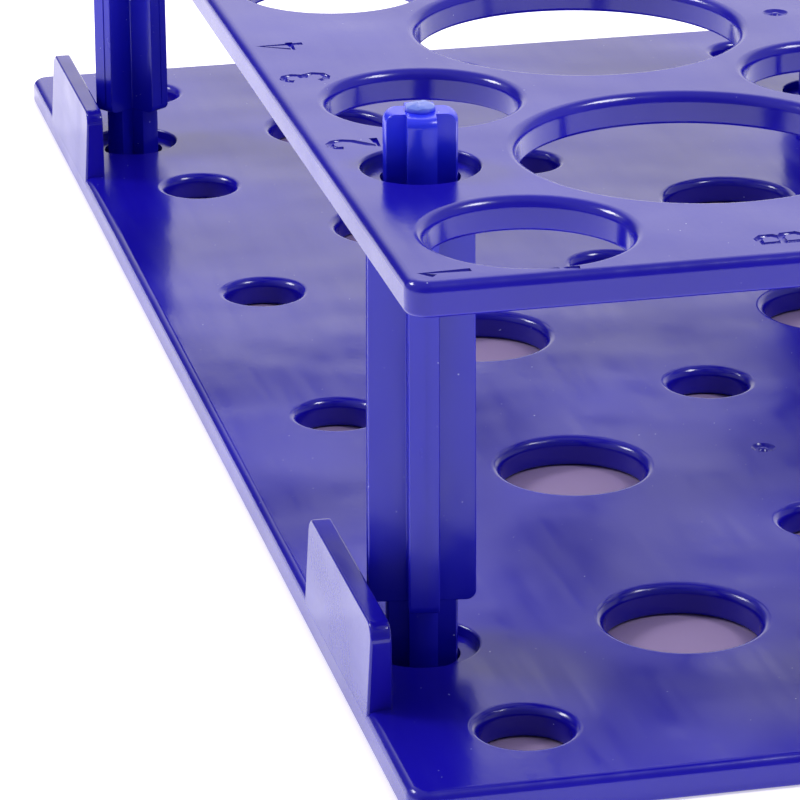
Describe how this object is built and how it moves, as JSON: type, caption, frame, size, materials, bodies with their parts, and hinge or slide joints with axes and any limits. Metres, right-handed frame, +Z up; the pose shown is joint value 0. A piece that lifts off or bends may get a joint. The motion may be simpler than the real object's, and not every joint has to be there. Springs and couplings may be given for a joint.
{
  "type": "test tube rack",
  "caption": "Two-tier rack for wide and slim conical centrifuge tubes: two drilled plates joined by loose cross-shaped posts.",
  "frame": {"origin": "centre of the lower plate's underside, on the table", "axes": "+X along the long side, +Y towards the long side with the column numbers, +Z up"},
  "size_m": [0.21, 0.1026, 0.0527],
  "materials": {
    "plate_plastic": "glossy moulded",
    "post_plastic": "glossy moulded"
  },
  "bodies": {
    "base": {"lower_plate": "plate_plastic"},
    "deck": {"upper_plate": "plate_plastic"},
    "post_front_left": {"post_front_left": "post_plastic"},
    "post_back_left": {"post_back_left": "post_plastic"},
    "post_front_right": {"post_front_right": "post_plastic"},
    "post_back_right": {"post_back_right": "post_plastic"}
  },
  "joints": [
    {"name": "upper_plate_lift", "type": "slide", "parent": "base", "child": "deck", "axis": [0, 0, 1], "range_m": [0, 0.03]},
    {"name": "post_front_left_press", "type": "slide", "parent": "base", "child": "post_front_left", "axis": [0, 0, 1], "range_m": [-0.0055, 0]},
    {"name": "post_back_left_press", "type": "slide", "parent": "base", "child": "post_back_left", "axis": [0, 0, 1], "range_m": [-0.0055, 0]},
    {"name": "post_front_right_press", "type": "slide", "parent": "base", "child": "post_front_right", "axis": [0, 0, 1], "range_m": [-0.0055, 0]},
    {"name": "post_back_right_press", "type": "slide", "parent": "base", "child": "post_back_right", "axis": [0, 0, 1], "range_m": [-0.0055, 0]}
  ]
}
